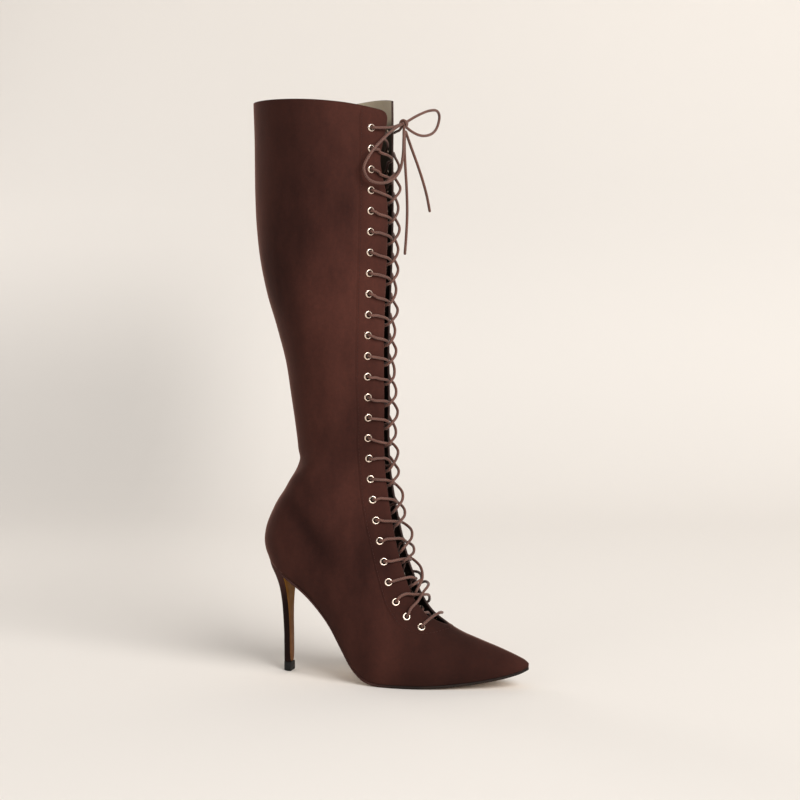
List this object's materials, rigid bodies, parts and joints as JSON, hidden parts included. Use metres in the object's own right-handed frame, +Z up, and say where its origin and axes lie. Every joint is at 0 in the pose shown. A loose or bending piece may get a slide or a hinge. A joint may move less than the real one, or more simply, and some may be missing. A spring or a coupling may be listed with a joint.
{
  "type": "lace-up knee-high boot",
  "caption": "Lace-up knee-high suede boot for the right foot, with a pointed toe, a slim high heel and an open front laced crosswise through metal eyelets to a bow at the collar.",
  "frame": {"origin": "on the floor under the middle of the boot's box, without the bow and the hanging lace ends", "axes": "+X to the toe, +Y to the medial side, +Z up the shaft"},
  "size_m": [0.2412, 0.1057, 0.4949],
  "materials": {
    "suede": "napped dark red-brown suede",
    "sole": "smooth tan sole with a dark edge",
    "lining": "plain beige lining",
    "top_piece": "black top piece of the heel",
    "eyelet": "polished pale rose gold",
    "cord": "round waxed brown cord"
  },
  "bodies": {
    "root": {"upper": "suede", "outsole": "sole", "insole": "lining", "heel": "suede", "heel_tip": "top_piece", "eyelet_lateral_01": "eyelet", "eyelet_lateral_02": "eyelet", "eyelet_lateral_03": "eyelet", "eyelet_lateral_04": "eyelet", "eyelet_lateral_05": "eyelet", "eyelet_lateral_06": "eyelet", "eyelet_lateral_07": "eyelet", "eyelet_lateral_08": "eyelet", "eyelet_lateral_09": "eyelet", "eyelet_lateral_10": "eyelet", "eyelet_lateral_11": "eyelet", "eyelet_lateral_12": "eyelet", "eyelet_lateral_13": "eyelet", "eyelet_lateral_14": "eyelet", "eyelet_lateral_15": "eyelet", "eyelet_lateral_16": "eyelet", "eyelet_lateral_17": "eyelet", "eyelet_lateral_18": "eyelet", "eyelet_lateral_19": "eyelet", "eyelet_lateral_20": "eyelet", "eyelet_lateral_21": "eyelet", "eyelet_lateral_22": "eyelet", "eyelet_lateral_23": "eyelet", "eyelet_lateral_24": "eyelet", "eyelet_lateral_25": "eyelet", "eyelet_lateral_26": "eyelet", "eyelet_medial_01": "eyelet", "eyelet_medial_02": "eyelet", "eyelet_medial_03": "eyelet", "eyelet_medial_04": "eyelet", "eyelet_medial_05": "eyelet", "eyelet_medial_06": "eyelet", "eyelet_medial_07": "eyelet", "eyelet_medial_08": "eyelet", "eyelet_medial_09": "eyelet", "eyelet_medial_10": "eyelet", "eyelet_medial_11": "eyelet", "eyelet_medial_12": "eyelet", "eyelet_medial_13": "eyelet", "eyelet_medial_14": "eyelet", "eyelet_medial_15": "eyelet", "eyelet_medial_16": "eyelet", "eyelet_medial_17": "eyelet", "eyelet_medial_18": "eyelet", "eyelet_medial_19": "eyelet", "eyelet_medial_20": "eyelet", "eyelet_medial_21": "eyelet", "eyelet_medial_22": "eyelet", "eyelet_medial_23": "eyelet", "eyelet_medial_24": "eyelet", "eyelet_medial_25": "eyelet", "eyelet_medial_26": "eyelet", "lace": "cord", "lace_bow": "cord", "lace_ends": "cord"}
  },
  "joints": []
}
